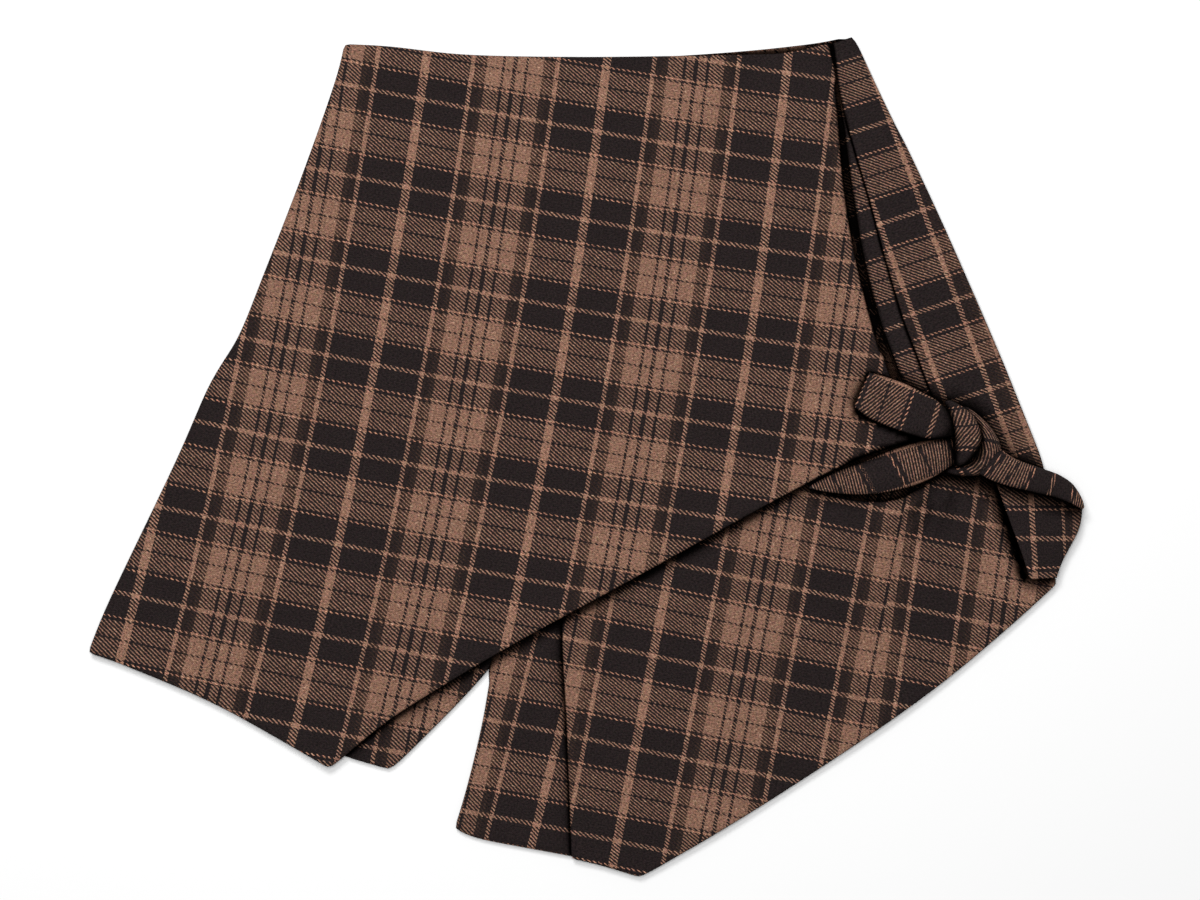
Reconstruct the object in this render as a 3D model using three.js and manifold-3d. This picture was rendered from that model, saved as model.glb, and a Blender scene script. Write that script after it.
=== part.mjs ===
// A checked skort laid flat: shorts with a wrap overskirt over their front, tied in a half bow at the
// wearer's left hip. The wrap's upper panel runs from the waist down to a slanting hem, and its corner
// goes into the knot. The under panel comes out below that hem, and a pleated hip panel beside it.
//
// Millimetres. +X is the wearer's left, where the bow is, +Y is towards the waist, and +Z is up from the
// surface. Outlines are measured from the middle of the garment's own outline.
import * as THREE from "three";
import { mergeVertices } from "three/addons/utils/BufferGeometryUtils.js";
import Module from "manifold-3d";

const wasm = await Module();
wasm.setup();

// Driving dimensions.
const clothThickness = 1.5;
const seamGap = 0.3; // between pieces that lie together or meet at a seam
const layer = clothThickness + seamGap; // rise from one layer of cloth to the next
const tieThickness = 3; // a tie is a sewn tube, pressed flat
const loftHeight = 2; // how far the layers puff up between seams and hems
const loftReach = 70; // distance from a seam at which they have their full loft
const gridCell = 24; // size of a panel's facets
const edgeStep = 16; // longest step along a curved edge
const cutDepth = 60; // an outline cuts through every height that a panel reaches

const underwrapLeft = -19; // where the under panel's hidden edge starts
const stepOver = { far: 60, near: 27 }; // the overskirt climbs onto the under panel between these distances
const edgeCurl = { height: 2, reach: 45 }; // free edges of the overskirt stand up a little
const knotCentre = { x: 249, y: 12 };
const overskirtRise = { height: 3.5, near: 15, far: 75 }; // the overskirt's corner climbs into the knot
const underwrapRise = { height: 2, near: 15, far: 60 };
const tuckRidge = { height: 2.4, width: 20 }; // the soft fold that the knot pulls in the under panel
const tuckLine = { x1: 238, y1: -8, x2: 190, y2: -172 };
const pleatDepth = 4; // how far the hip pleat's inner fold lies behind the outer one
const pleatTurn = 1.2; // length of cloth that turns round a fold

const shortsColour = 0x55423b;
const skirtColour = 0x5b463e;
const tieColour = 0x4f3d37;

// Outlines, edge by edge, clockwise from the waist. Each edge is a smooth curve through its points and
// ends at the next edge's first point. Names with "hidden" run under another panel.
const overskirtEdges = {
  waist: [{ x: -155, y: 266.5 }, { x: -125, y: 265 }, { x: -75, y: 259.5 }, { x: 10, y: 258 },
    { x: 131, y: 260 }],
  waistEnd: [{ x: 131, y: 260 }, { x: 157.5, y: 266.5 }],
  wrapEdge: [{ x: 157.5, y: 266.5 }, { x: 163.5, y: 236 }, { x: 168.5, y: 175 }, { x: 176.5, y: 127 },
    { x: 190.5, y: 72.5 }, { x: 203.5, y: 37 }, { x: 232, y: 13.5 }],
  knotCorner: [{ x: 232, y: 13.5 }, { x: 231.5, y: 10 }],
  slantingHem: [{ x: 231.5, y: 10 }, { x: 207, y: 8.5 }, { x: 188, y: 3 }, { x: 141.5, y: -18 },
    { x: 22.5, y: -83.5 }, { x: -52.5, y: -124.5 }, { x: -117.5, y: -164 }, { x: -141, y: -181.5 },
    { x: -162, y: -199.5 }],
  hemCorner: [{ x: -162, y: -199.5 }, { x: -165, y: -201 }],
  legHem: [{ x: -165, y: -201 }, { x: -194.5, y: -184 }, { x: -243, y: -157.5 }, { x: -305, y: -131.5 }],
  sideCorner: [{ x: -305, y: -131.5 }, { x: -320.5, y: -126.5 }],
  side: [{ x: -320.5, y: -126.5 }, { x: -307, y: -93 }, { x: -263.5, y: -2 }, { x: -241, y: 49.5 },
    { x: -224.5, y: 75 }, { x: -208.5, y: 114.5 }, { x: -183.5, y: 179 }, { x: -160.5, y: 244 },
    { x: -155, y: 266.5 }],
};

const underwrapEdges = {
  hiddenWaist: [{ x: underwrapLeft, y: 255 }, { x: 132.5, y: 255.5 }],
  hiddenEdge: [{ x: 132.5, y: 255.5 }, { x: 139, y: 101.5 }, { x: 143, y: -17.5 }],
  topEdge: [{ x: 143, y: -17.5 }, { x: 165.5, y: -26.5 }, { x: 190.5, y: -29.5 }, { x: 209, y: -26.5 },
    { x: 220.5, y: -16 }, { x: 233, y: -11 }, { x: 258.5, y: -13 }],
  underBand: [{ x: 258.5, y: -13 }, { x: 298, y: -18 }],
  side: [{ x: 298, y: -18 }, { x: 302.5, y: -76 }],
  corner: [{ x: 302.5, y: -76 }, { x: 305, y: -82 }],
  slantingHem: [{ x: 305, y: -82 }, { x: 272.5, y: -111.5 }, { x: 228.5, y: -148 }, { x: 173.5, y: -187 },
    { x: 100.5, y: -234 }, { x: 40, y: -269.5 }],
  hemCorner: [{ x: 40, y: -269.5 }, { x: 35.5, y: -271.5 }],
  legHem: [{ x: 35.5, y: -271.5 }, { x: 7.5, y: -263 }, { x: -8.5, y: -259.5 }],
  openEdge: [{ x: -8.5, y: -259.5 }, { x: -12, y: -162 }, { x: -14.5, y: -102.5 },
    { x: underwrapLeft, y: 255 }],
};

const crotch = { x: -60.5, y: -136.5 };
const centreWaist = { x: 7.5, y: 256 };

const frontLeftEdges = {
  waist: [{ x: centreWaist.x, y: centreWaist.y }, { x: 131, y: 258 }, { x: 163.5, y: 264.5 },
    { x: 173, y: 267 }],
  side: [{ x: 173, y: 267 }, { x: 190, y: 231 }, { x: 209.5, y: 192 }, { x: 256, y: 88.5 }, { x: 292, y: 0 }],
  hiddenSide: [{ x: 292, y: 0 }, { x: 300, y: -77 }],
  hiddenHem: [{ x: 300, y: -77 }, { x: 226, y: -145 }, { x: 171, y: -184 }, { x: 35.5, y: -267.5 }],
  legHem: [{ x: 35.5, y: -267.5 }, { x: -9, y: -258 }, { x: -66, y: -247.5 }, { x: -80, y: -243.5 }],
  hemCorner: [{ x: -80, y: -243.5 }, { x: -84, y: -240 }],
  inseam: [{ x: -84, y: -240 }, { x: -76.5, y: -215.5 }, { x: -65.5, y: -169.5 },
    { x: crotch.x, y: crotch.y }],
};

const frontRightEdges = {
  waist: [{ x: -153.5, y: 265 }, { x: -75, y: 258 }, { x: centreWaist.x - 2 * seamGap, y: centreWaist.y }],
  centreFront: [{ x: centreWaist.x - 2 * seamGap, y: centreWaist.y },
    { x: crotch.x - 2 * seamGap, y: crotch.y }],
  inseam: [{ x: crotch.x - 2 * seamGap, y: crotch.y }, { x: -81.5, y: -159 }, { x: -122, y: -199.5 }],
  hemCorner: [{ x: -122, y: -199.5 }, { x: -126, y: -202 }],
  legHem: [{ x: -126, y: -202 }, { x: -142, y: -197.5 }, { x: -155.5, y: -193.5 }, { x: -185, y: -182 }],
  hiddenHem: [{ x: -185, y: -182 }, { x: -249, y: -151 }, { x: -316, y: -124.5 }],
  side: [{ x: -316, y: -124.5 }, { x: -306, y: -93 }, { x: -262.5, y: -2 }, { x: -240, y: 49.5 },
    { x: -223.5, y: 75 }, { x: -207.5, y: 114.5 }, { x: -182.5, y: 179 }, { x: -159.5, y: 244 },
    { x: -153.5, y: 265 }],
};

// The backs are cut as the fronts are, but the left one stands higher at the waist.
const { side, hiddenSide, hiddenHem, legHem, hemCorner, inseam } = frontLeftEdges;
const backLeftEdges = {
  waist: [{ x: centreWaist.x, y: centreWaist.y }, { x: 100, y: 262 }, { x: 158.5, y: 268.5 },
    { x: 170, y: 271.5 }],
  waistEnd: [{ x: 170, y: 271.5 }, { x: 174.5, y: 267.5 }],
  side: [{ x: 174.5, y: 267.5 }, ...side.slice(1)],
  hiddenSide,
  hiddenHem,
  legHem,
  hemCorner,
  inseam,
};

// Seams, hems and sides, where all layers lie close together.
const outerSeams = [
  { x1: -155, y1: 267, x2: 174, y2: 268 },
  { x1: 174, y1: 268, x2: 302, y2: -80 },
  { x1: 302, y1: -80, x2: 36, y2: -271 },
  { x1: 36, y1: -271, x2: -84, y2: -241 },
  { x1: -126, y1: -202, x2: -320, y2: -126 },
  { x1: -320, y1: -126, x2: -155, y2: 267 },
];
const inseams = [
  { x1: -84, y1: -241, x2: crotch.x, y2: crotch.y },
  { x1: crotch.x, y1: crotch.y, x2: -126, y2: -202 },
];

// The hip panel, a row for each section from the waist down: the pleat's fold, the side seam, and the end
// that is hidden under the overskirt.
const hipSections = [
  { foldX: 159.5, foldY: 266, sideX: 174.5, sideY: 267.5, underX: 155, underY: 264 },
  { foldX: 164, foldY: 239, sideX: 188.5, sideY: 238.5, underX: 156.5, underY: 238.5 },
  { foldX: 174, foldY: 196, sideX: 209, sideY: 197, underX: 160, underY: 195 },
  { foldX: 184, foldY: 163, sideX: 226, sideY: 161, underX: 163, underY: 163 },
  { foldX: 193.5, foldY: 130, sideX: 241, sideY: 127.5, underX: 168, underY: 130 },
  { foldX: 205, foldY: 90.5, sideX: 258.7, sideY: 87, underX: 179, underY: 90.5 },
  { foldX: 216, foldY: 65, sideX: 270.8, sideY: 58.5, underX: 188, underY: 65 },
  { foldX: 227.5, foldY: 36, sideX: 283, sideY: 28, underX: 199, underY: 36 },
  { foldX: 238, foldY: 14, sideX: 292.5, sideY: 4, underX: 215, underY: 17.5 },
  { foldX: 242, foldY: 0, sideX: 297.5, sideY: -12, underX: 227, underY: 2 },
];

// How the hip panel's top layer comes down to the side seam: share of the way, and height in layers.
const hipSlope = [
  { share: 0, layers: 2 },
  { share: 0.3, layers: 1.4 },
  { share: 0.65, layers: 0.5 },
  { share: 1, layers: 0 },
];

// Ties, a row for each section: the two edges, the rise of the middle line over what it lies on, and how
// far the middle is arched above the edges.
const shortEndSections = [
  { ax: 183, ay: 53.5, bx: 173, by: 31.5, rise: 0.4, arch: 0.6 },
  { ax: 193.5, ay: 52, bx: 185.5, by: 25, rise: 0.7, arch: 0.8 },
  { ax: 211, ay: 44.5, bx: 201.5, by: 16.5, rise: 1.5, arch: 1 },
  { ax: 226.5, ay: 36, bx: 217, by: 12.5, rise: 3, arch: 1.4 },
  { ax: 243, ay: 24, bx: 236, by: 9, rise: 5, arch: 1.6 },
];
const loopSections = [
  { ax: 145, ay: -19.5, bx: 147, by: -20.5, rise: 0.2, arch: 0 },
  { ax: 154, ay: -13.6, bx: 152.5, by: -22, rise: 0.4, arch: 0.6 },
  { ax: 166, ay: -8.4, bx: 165, by: -24, rise: 1, arch: 1.5 },
  { ax: 188, ay: 1.3, bx: 186, by: -24, rise: 2.6, arch: 2.6 },
  { ax: 207.5, ay: 7, bx: 205.5, by: -20, rise: 4, arch: 3 },
  { ax: 225, ay: 8.8, bx: 223, by: -13, rise: 5, arch: 3 },
  { ax: 243, ay: 9, bx: 240, by: -1, rise: 6, arch: 2.4 },
];
const longBandSections = [
  { ax: 256, ay: 14, bx: 250, by: -8, z: 15, arch: 1.5 },
  { ax: 272, ay: 1, bx: 263, by: -15.5, z: 13.6, arch: 1.8 },
  { ax: 284.5, ay: -3.5, bx: 275.5, by: -20, z: 12.4, arch: 1.8 },
  { ax: 296, ay: -8, bx: 291, by: -24, z: 11.4, arch: 1.6 },
  { ax: 307, ay: -13, bx: 304, by: -27.5, z: 10.4, arch: 1.4 },
  { ax: 315, ay: -19.5, bx: 311, by: -29.5, z: 9.6, arch: 1 },
  { ax: 320, ay: -27, bx: 315.5, by: -31.5, z: 9, arch: 0.6 },
  { ax: 321, ay: -32.5, bx: 318.5, by: -33, z: 8.6, arch: 0.2 },
];
const longTailSections = [
  { ax: 262, ay: -16.5, bx: 318.5, by: -28, az: 8.6, bz: 6, arch: 0 },
  { ax: 266, ay: -26.5, bx: 321, by: -36, az: 8.6, bz: 5.6, arch: 0.2 },
  { ax: 270, ay: -37, bx: 319.5, by: -43.5, az: 8.7, bz: 5, arch: 0.8 },
  { ax: 276, ay: -53, bx: 315, by: -56.5, az: 8.6, bz: 5.4, arch: 1 },
  { ax: 281, ay: -66, bx: 310, by: -67, az: 8.2, bz: 6.4, arch: 0.8 },
  { ax: 286, ay: -79, bx: 303.5, by: -78.5, az: 7.8, bz: 7, arch: 0.2 },
];

// The knot's wraps as rounded lobes: centre, half sizes, and the turn of the long axis from +Y.
const knotLobes = [
  { x: 243.8, y: 13, z: 16, halfWidth: 9, halfLength: 23.5, halfHeight: 8, turn: 0.22 },
  { x: 252, y: 7, z: 14, halfWidth: 11.5, halfLength: 21.5, halfHeight: 6, turn: 0.6 },
  { x: 248, y: -1, z: 12.8, halfWidth: 14, halfLength: 9.5, halfHeight: 4.8, turn: 0 },
];

const { smoothstep, lerp } = THREE.MathUtils;

function distanceTo({ x1, y1, x2, y2 }, x, y) {
  const dx = x2 - x1;
  const dy = y2 - y1;
  const along = THREE.MathUtils.clamp(((x - x1) * dx + (y - y1) * dy) / (dx * dx + dy * dy), 0, 1);
  return Math.hypot(x - x1 - along * dx, y - y1 - along * dy);
}

function segmentsOf(points) {
  return points.slice(1).map((end, i) => ({ x1: points[i].x, y1: points[i].y, x2: end.x, y2: end.y }));
}

// Heights of the undersides, from the surface up. The back lies on the surface itself.
function loft(seams, x, y) {
  const share = (seam) => smoothstep(distanceTo(seam, x, y), 0, loftReach);
  return seams.reduce((height, seam) => height * share(seam), loftHeight);
}

function riseToKnot({ height, near, far }, x, y) {
  const distance = Math.hypot(x - knotCentre.x, y - knotCentre.y);
  return height * (1 - smoothstep(distance, near, far));
}

const frontUnder = (x, y) => layer + loft([...outerSeams, ...inseams], x, y);

const wrapUnder = (x, y) => 2 * layer + loft(outerSeams, x, y);

function underwrapUnder(x, y) {
  const fade = smoothstep(y, tuckLine.y2, tuckLine.y1);
  const ridge = 1 - smoothstep(distanceTo(tuckLine, x, y), 0, tuckRidge.width);
  return wrapUnder(x, y) + riseToKnot(underwrapRise, x, y) + tuckRidge.height * fade * ridge;
}

const freeEdges = segmentsOf([...overskirtEdges.wrapEdge, ...overskirtEdges.slantingHem]);

function overskirtUnder(x, y) {
  const distance = Math.min(...freeEdges.map((edge) => distanceTo(edge, x, y)));
  const curl = edgeCurl.height * (1 - smoothstep(distance, 0, edgeCurl.reach));
  const hem = smoothstep(x, overskirtEdges.hemCorner[0].x, underwrapLeft);
  const over = layer * smoothstep(x - underwrapLeft, -stepOver.far, -stepOver.near);
  return wrapUnder(x, y) + over + curl * hem + riseToKnot(overskirtRise, x, y);
}

// A closed solid from two grids of points, its upper and its lower face.
function slabBetween(upper, lower) {
  const rows = upper.length;
  const columns = upper[0].length;
  const positions = [...upper.flat(), ...lower.flat()].flatMap((p) => [p.x, p.y, p.z]);
  const at = (side, i, j) => (side * rows + i) * columns + j;
  const indices = [];
  const quad = (a, b, c, d) => indices.push(a, b, c, a, c, d);
  for (let i = 0; i < rows - 1; i++)
    for (let j = 0; j < columns - 1; j++) {
      quad(at(0, i, j), at(0, i, j + 1), at(0, i + 1, j + 1), at(0, i + 1, j));
      quad(at(1, i, j), at(1, i + 1, j), at(1, i + 1, j + 1), at(1, i, j + 1));
    }
  for (let i = 0; i < rows - 1; i++) {
    quad(at(0, i, 0), at(0, i + 1, 0), at(1, i + 1, 0), at(1, i, 0));
    quad(at(0, i, columns - 1), at(1, i, columns - 1), at(1, i + 1, columns - 1), at(0, i + 1, columns - 1));
  }
  for (let j = 0; j < columns - 1; j++) {
    quad(at(0, 0, j), at(1, 0, j), at(1, 0, j + 1), at(0, 0, j + 1));
    quad(at(0, rows - 1, j), at(0, rows - 1, j + 1), at(1, rows - 1, j + 1), at(1, rows - 1, j));
  }
  const geometry = new THREE.BufferGeometry();
  geometry.setAttribute("position", new THREE.Float32BufferAttribute(positions, 3));
  geometry.setIndex(indices);
  return geometry;
}

function solidOf(geometry) {
  const plain = geometry.clone();
  plain.deleteAttribute("normal");
  plain.deleteAttribute("uv");
  const merged = mergeVertices(plain, 1e-4);
  const vertProperties = merged.attributes.position.array;
  const triVerts = new Uint32Array(merged.index.array);
  return new wasm.Manifold(new wasm.Mesh({ numProp: 3, vertProperties, triVerts }));
}

function geometryOf(solid) {
  const mesh = solid.getMesh();
  const geometry = new THREE.BufferGeometry();
  geometry.setAttribute("position", new THREE.BufferAttribute(mesh.vertProperties, 3));
  geometry.setIndex(new THREE.BufferAttribute(mesh.triVerts, 1));
  return geometry;
}

// The outline of a panel: its edges as smooth curves, joined at their ends.
function outlineOf(edges) {
  return Object.values(edges).flatMap((edge) => {
    if (edge.length === 2) return [new THREE.Vector2(edge[0].x, edge[0].y)];
    const curve = new THREE.SplineCurve(edge.map(({ x, y }) => new THREE.Vector2(x, y)));
    const steps = Math.ceil(curve.getLength() / edgeStep);
    return curve.getSpacedPoints(steps).slice(0, -1);
  });
}

// A panel of cloth: a sheet over the panel's whole box, cut out along its outline.
function panel(edges, underside) {
  const outline = outlineOf(edges);
  const box = new THREE.Box2().setFromPoints(outline);
  const cells = (low, high) => {
    const first = Math.floor(low / gridCell) - 0.5;
    return Array.from({ length: Math.ceil(high / gridCell - first) + 1 }, (_, i) => (first + i) * gridCell);
  };
  const sheet = (offset) =>
    cells(box.min.y, box.max.y).map((y) =>
      cells(box.min.x, box.max.x).map((x) => new THREE.Vector3(x, y, underside(x, y) + offset)),
    );
  const shape = new THREE.Shape(outline);
  const cutter = new THREE.ExtrudeGeometry(shape, { depth: cutDepth, bevelEnabled: false });
  cutter.translate(0, 0, -cutDepth / 2);
  return solidOf(slabBetween(sheet(clothThickness), sheet(0))).intersect(solidOf(cutter));
}

// The back lies flat on the surface, so it is its outline alone, as thick as the cloth.
function flatPanel(edges) {
  const shape = new THREE.Shape(outlineOf(edges));
  return solidOf(new THREE.ExtrudeGeometry(shape, { depth: clothThickness, bevelEnabled: false }));
}

// Cloth of even thickness about a grid of points on its middle surface.
function clothAbout(middle, thickness) {
  const rows = middle.length;
  const columns = middle[0].length;
  const offsetAt = (i, j) => {
    const down = middle[Math.min(i + 1, rows - 1)][j].clone().sub(middle[Math.max(i - 1, 0)][j]);
    const before = middle[i][j].clone().sub(middle[i][Math.max(j - 1, 0)]).normalize();
    const after = middle[i][Math.min(j + 1, columns - 1)].clone().sub(middle[i][j]).normalize();
    return before.add(after).cross(down).normalize().multiplyScalar(thickness / 2);
  };
  const side = (sign) =>
    middle.map((row, i) => row.map((p, j) => p.clone().addScaledVector(offsetAt(i, j), sign)));
  return solidOf(slabBetween(side(1), side(-1)));
}

// The hip panel lies in a pleat: from its hidden end it runs under the fold, back over itself, and then
// out to the side seam as the top layer, which comes down to the layers beneath it.
function hipPanel() {
  const middle = hipSections.map(({ foldX, foldY, sideX, sideY, underX, underY }) => {
    const fold = new THREE.Vector2(foldX, foldY);
    const side = new THREE.Vector2(sideX, sideY);
    const under = new THREE.Vector2(underX, underY);
    const out = side.clone().sub(fold).normalize();
    const inner = fold.clone().addScaledVector(out, pleatDepth);
    const point = (p, rise) =>
      new THREE.Vector3(p.x, p.y, wrapUnder(p.x, p.y) + seamGap + clothThickness / 2 + rise * layer);
    const from = (start, distance, rise) => point(start.clone().addScaledVector(out, distance), rise);
    return [
      point(under, 0),
      point(under.clone().lerp(inner, 0.5), 0),
      from(inner, -pleatTurn, 0),
      from(inner, 0, 0.5),
      from(inner, -pleatTurn, 1),
      from(fold, pleatTurn, 1),
      from(fold, 0, 1.5),
      from(fold, pleatTurn, 2),
      ...hipSlope.map(({ share, layers }) => point(inner.clone().lerp(side, share), layers)),
    ];
  });
  return clothAbout(middle, clothThickness);
}

// A tie: each section runs from edge a to edge b, arched between them.
function tie(sections, heightAt) {
  const acrossSteps = 6;
  const middle = sections.map((section) =>
    Array.from({ length: acrossSteps + 1 }, (_, j) => {
      const share = j / acrossSteps;
      const x = lerp(section.ax, section.bx, share);
      const y = lerp(section.ay, section.by, share);
      const bulge = 4 * share * (1 - share) * section.arch;
      return new THREE.Vector3(x, y, heightAt(section, share, x, y) + bulge);
    }),
  );
  return clothAbout(middle, tieThickness);
}

// Lobes of the knot, swollen by a clearance where neighbours are cut to make room for it.
function knot(clearance = 0) {
  return knotLobes
    .map(({ x, y, z, halfWidth, halfLength, halfHeight, turn }) => {
      const lobe = new THREE.SphereGeometry(1, 20, 12);
      lobe.scale(halfWidth + clearance, halfLength + clearance, halfHeight + clearance);
      lobe.rotateZ(turn);
      lobe.translate(x, y, z);
      return solidOf(lobe);
    })
    .reduce((whole, lobe) => whole.add(lobe));
}

const aroundKnot = knot(seamGap);
const tieLift = clothThickness + seamGap + tieThickness / 2; // from a panel's underside to a tie on it
const restingOn = (underside) => ({ rise }, share, x, y) => underside(x, y) + tieLift + rise;

const pieces = [
  { name: "shorts_back_right", colour: shortsColour, solid: flatPanel(frontRightEdges) },
  { name: "shorts_back_left", colour: shortsColour, solid: flatPanel(backLeftEdges) },
  { name: "shorts_front_right", colour: shortsColour, solid: panel(frontRightEdges, frontUnder) },
  { name: "shorts_front_left", colour: shortsColour, solid: panel(frontLeftEdges, frontUnder) },
  { name: "hip_panel", colour: skirtColour, solid: hipPanel().subtract(aroundKnot) },
  {
    name: "underwrap_panel",
    colour: skirtColour,
    solid: panel(underwrapEdges, underwrapUnder).subtract(aroundKnot),
  },
  {
    name: "overskirt_panel",
    colour: skirtColour,
    solid: panel(overskirtEdges, overskirtUnder).subtract(aroundKnot),
  },
  { name: "tie_knot", colour: tieColour, solid: knot() },
  {
    name: "tie_short_end",
    colour: tieColour,
    solid: tie(shortEndSections, restingOn(overskirtUnder)).subtract(aroundKnot),
  },
  {
    name: "tie_loop",
    colour: tieColour,
    solid: tie(loopSections, restingOn(underwrapUnder)).subtract(aroundKnot),
  },
  {
    name: "tie_long_band",
    colour: tieColour,
    solid: tie(longBandSections, ({ z }) => z).subtract(aroundKnot),
  },
  {
    name: "tie_long_tail",
    colour: tieColour,
    solid: tie(longTailSections, ({ az, bz }, share) => lerp(az, bz, share)),
  },
];

const garment = new THREE.Group();
for (const { name, colour, solid } of pieces) {
  const material = new THREE.MeshStandardMaterial({ color: colour, roughness: 0.92, metalness: 0 });
  const mesh = new THREE.Mesh(geometryOf(solid), material);
  mesh.name = name;
  garment.add(mesh);
}

// The origin is the middle of the garment's box, on the surface it lies on.
const box = new THREE.Box3().setFromObject(garment);
const middle = box.getCenter(new THREE.Vector3());
garment.position.set(-middle.x, -middle.y, -box.min.z);
garment.updateMatrixWorld(true);

export default garment;
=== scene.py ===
"""A checked skort laid flat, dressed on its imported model: every piece of cloth is a thin shell that
follows its solid, with the check charted thread by thread and laid on it as the garment was cut.

Sizes are in millimetres in the tables and functions, and turned into metres when a mesh is made.
+X is the wearer's left, +Y is towards the waist, +Z is up from the floor.
"""
import math

import bpy
import numpy as np
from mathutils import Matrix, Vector
from mathutils.bvhtree import BVHTree
from mathutils.geometry import delaunay_2d_cdt
from mathutils.kdtree import KDTree


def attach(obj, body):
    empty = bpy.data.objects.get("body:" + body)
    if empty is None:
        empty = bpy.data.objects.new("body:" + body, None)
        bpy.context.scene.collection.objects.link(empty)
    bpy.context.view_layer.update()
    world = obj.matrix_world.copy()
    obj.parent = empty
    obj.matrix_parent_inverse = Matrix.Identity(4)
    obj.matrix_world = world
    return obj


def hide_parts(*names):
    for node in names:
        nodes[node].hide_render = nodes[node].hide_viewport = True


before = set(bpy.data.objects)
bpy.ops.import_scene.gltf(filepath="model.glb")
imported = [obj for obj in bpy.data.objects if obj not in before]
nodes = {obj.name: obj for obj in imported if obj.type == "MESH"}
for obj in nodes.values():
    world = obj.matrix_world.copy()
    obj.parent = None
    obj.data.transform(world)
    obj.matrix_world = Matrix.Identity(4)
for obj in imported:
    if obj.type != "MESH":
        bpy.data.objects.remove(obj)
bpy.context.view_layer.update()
scene = bpy.context.scene

MM = 0.001
FRAME_WIDTH = 0.7764  # width of the picture's frame on the floor, in metres
FRAME_CENTRE = (0.00954, 0.00437)
CAMERA_HEIGHT = 2.4
SENSOR = 36.0
FLOOR_DROP = -0.0004  # the floor lies just clear of the cloth
CLOTH = 1.3  # thickness of the cloth, in mm


# ---------------------------------------------------------------- camera, floor and light

def add_camera():
    data = bpy.data.cameras.new("camera")
    data.sensor_fit = "HORIZONTAL"
    data.sensor_width = SENSOR
    data.lens = SENSOR * CAMERA_HEIGHT / FRAME_WIDTH
    camera = bpy.data.objects.new("camera", data)
    camera.location = (*FRAME_CENTRE, CAMERA_HEIGHT)
    scene.collection.objects.link(camera)
    scene.camera = camera


def add_area_light(name, location, size, watts):
    data = bpy.data.lights.new(name, "AREA")
    data.shape = "SQUARE"
    data.size = size
    data.energy = watts
    light = bpy.data.objects.new(name, data)
    light.location = location
    light.rotation_euler = (-Vector(location)).to_track_quat("-Z", "Y").to_euler()
    scene.collection.objects.link(light)


def add_floor():
    half = 4.0
    corners = [(-half, -half, 0), (half, -half, 0), (half, half, 0), (-half, half, 0)]
    mesh = bpy.data.meshes.new("floor")
    mesh.from_pydata(corners, [], [(0, 1, 2, 3)])
    floor = bpy.data.objects.new("floor", mesh)
    floor.location.z = FLOOR_DROP
    scene.collection.objects.link(floor)
    material = bpy.data.materials.new("floor_paper")
    material.use_nodes = True
    shader = material.node_tree.nodes["Principled BSDF"]
    shader.inputs["Base Color"].default_value = (0.93, 0.93, 0.93, 1)
    shader.inputs["Roughness"].default_value = 0.9
    shader.inputs["Specular IOR Level"].default_value = 0.1
    mesh.materials.append(material)


def add_world():
    world = bpy.data.worlds.new("studio")
    world.use_nodes = True
    background = world.node_tree.nodes["Background"]
    background.inputs["Color"].default_value = (1, 1, 1, 1)
    background.inputs["Strength"].default_value = 0.16
    scene.world = world


add_camera()
add_floor()
add_world()
add_area_light("overhead", (-0.1, 0.25, 3.0), 1.5, 60)
add_area_light("key", (-0.45, 1.25, 1.75), 0.7, 24)
scene.view_settings.view_transform = "Standard"
scene.view_settings.look = "None"


# ---------------------------------------------------------------- the check

def linear(*channels):
    """A colour given in 0-255 as the shader wants it."""
    values = [c / 255 for c in channels]
    return tuple(v / 12.92 if v <= 0.04045 else ((v + 0.055) / 1.055) ** 2.4 for v in values) + (1.0,)


YARNS = {
    "dark": linear(37, 29, 29),
    "umber": linear(47, 34, 30),
    "brown": linear(60, 44, 37),
    "tan": linear(143, 106, 88),
    "light": linear(160, 119, 99),
    "rose": linear(184, 132, 108),
    "glint": linear(214, 182, 154),
    "sheen": linear(190, 160, 140),
}

# The chart, thread by thread: ends from left to right, picks from the waist down.
WARP = [("tan", 11), ("dark", 2), ("tan", 6), ("dark", 3), ("tan", 6), ("dark", 2), ("tan", 11), ("brown", 4),
        ("umber", 5), ("light", 3), ("dark", 31), ("light", 6), ("dark", 30), ("light", 3), ("umber", 5),
        ("brown", 4)]
WEFT = [("dark", 2), ("tan", 20), ("dark", 3), ("rose", 2), ("dark", 24), ("light", 5), ("dark", 24),
        ("rose", 2), ("dark", 3), ("tan", 19)]
ENDS = sum(count for _, count in WARP)
PICKS = sum(count for _, count in WEFT)
TWILL_THREADS = 4
WANDER = 1.9  # how far a yarn wanders, in threads

# How much closer the twill's diagonals lie on a piece than its check says, along the weft and the warp. The
# cloth is pressed and pulled there, and a turned piece shows them leaning the other way.
TWILL = {
    "hip": (1.57, 1.03), "underwrap": (1.0, 1.16), "leg_left": (1.05, 1.05), "tail": (0.7, 1.1),
    "short_end": (1.0, 1.2), "loop": (0.41, 1.72), "band": (-0.3, 1.13),
    "knot_front": (1.35, 0.8), "knot_back": (-1.59, 0.62),
}
CREVICE = 0.012  # how far a neighbouring layer reaches in the painted crevice shade, in metres
CREVICE_POWER = 12.0  # how sharply that painted shade sets in
CREVICE_LIGHT = 0.03  # share of the base colour that the painted shade leaves in the deepest crevice
FIBRE_SHADE = (0.2, 1.98)  # how dark and how pale the fibres make a yarn
PATCH_SHADE = (0.93, 1.07)  # the same for patches a few repeats wide
GROOVE_SHADE = 0.62  # painted shade between two diagonals of the twill
GLINT = 0.6  # share of the palest fibre's colour where one lies across a tan yarn
SHINE = 0.15
SHEEN = 0.06


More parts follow.
